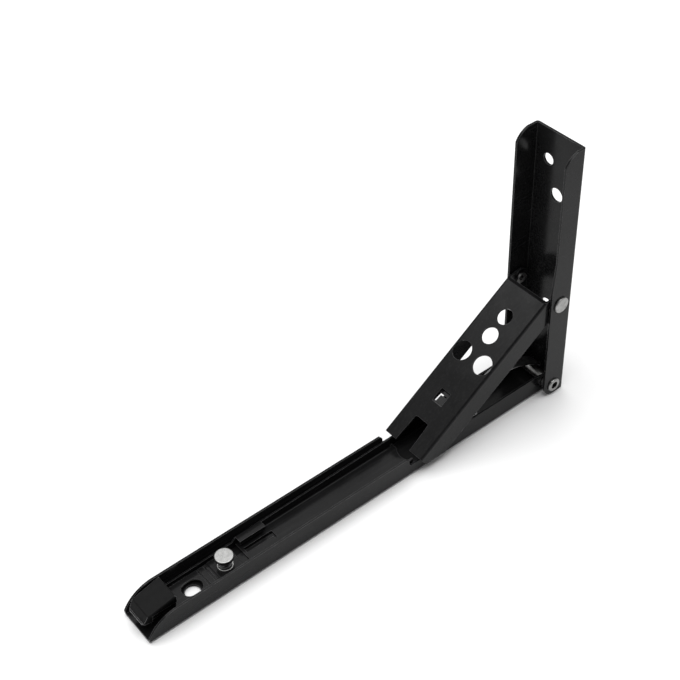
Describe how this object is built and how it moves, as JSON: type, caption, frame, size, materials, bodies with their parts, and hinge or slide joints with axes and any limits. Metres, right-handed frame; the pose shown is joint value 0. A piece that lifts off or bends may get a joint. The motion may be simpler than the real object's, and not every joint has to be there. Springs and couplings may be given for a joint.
{
  "type": "folding shelf bracket",
  "caption": "Folding wall shelf bracket: sheet steel wall plate, long channel arm and perforated diagonal brace, riveted, with a spring-loaded thumb release.",
  "frame": {"origin": "middle of the bracket's footprint, on the shelf face, as it lies with the long arm down", "axes": "+X from the arm's tip towards the wall, +Z from the shelf face up along the wall plate, +Y across the bracket. In use the bracket is turned over: the shelf face is on top and the wall plate hangs down from the corner."},
  "size_m": [0.301, 0.0394, 0.1776],
  "materials": {
    "black_coat": "satin black powder coat over sheet steel",
    "rivet_zinc": "bright zinc plate",
    "spring_steel": "bare spring steel",
    "cap_plastic": "fine moulded grain, black"
  },
  "bodies": {
    "wall_leg": {"wall_plate": "black_coat", "corner_rivet": "rivet_zinc", "corner_spacers": "rivet_zinc", "brace_rivets": "rivet_zinc", "brace_washers": "rivet_zinc"},
    "arm": {"arm_channel": "black_coat", "guide_stud": "rivet_zinc", "stud_spring": "spring_steel", "fold_spring": "spring_steel", "fold_spring_rivet": "rivet_zinc"},
    "brace": {"brace_channel": "black_coat"},
    "lever": {"release_channel": "black_coat", "thumb_lever": "black_coat", "thumb_cap": "cap_plastic", "stud_washer": "rivet_zinc"}
  },
  "joints": [
    {"name": "arm_fold", "type": "hinge", "parent": "wall_leg", "child": "arm", "pos_m": [0.1415, 0, 0.0071], "axis": [0, 1, 0], "range_deg": [0, 70], "deforming": ["fold_spring"]},
    {"name": "brace_swing", "type": "hinge", "parent": "wall_leg", "child": "brace", "pos_m": [0.1415, 0, 0.0722], "axis": [0, 1, 0], "range_deg": [0, 96]},
    {"name": "lever_press", "type": "hinge", "parent": "arm", "child": "lever", "pos_m": [-0.1035, 0, 0.0025], "axis": [0, -1, 0], "range_deg": [0, 2.5], "stiffness_Nm_per_rad": 1.2, "springref_deg": -3.44, "deforming": ["stud_spring"]}
  ],
  "couplings": [
    {"joint": "brace_swing", "follows": "arm_fold", "ratio": 1.364}
  ]
}
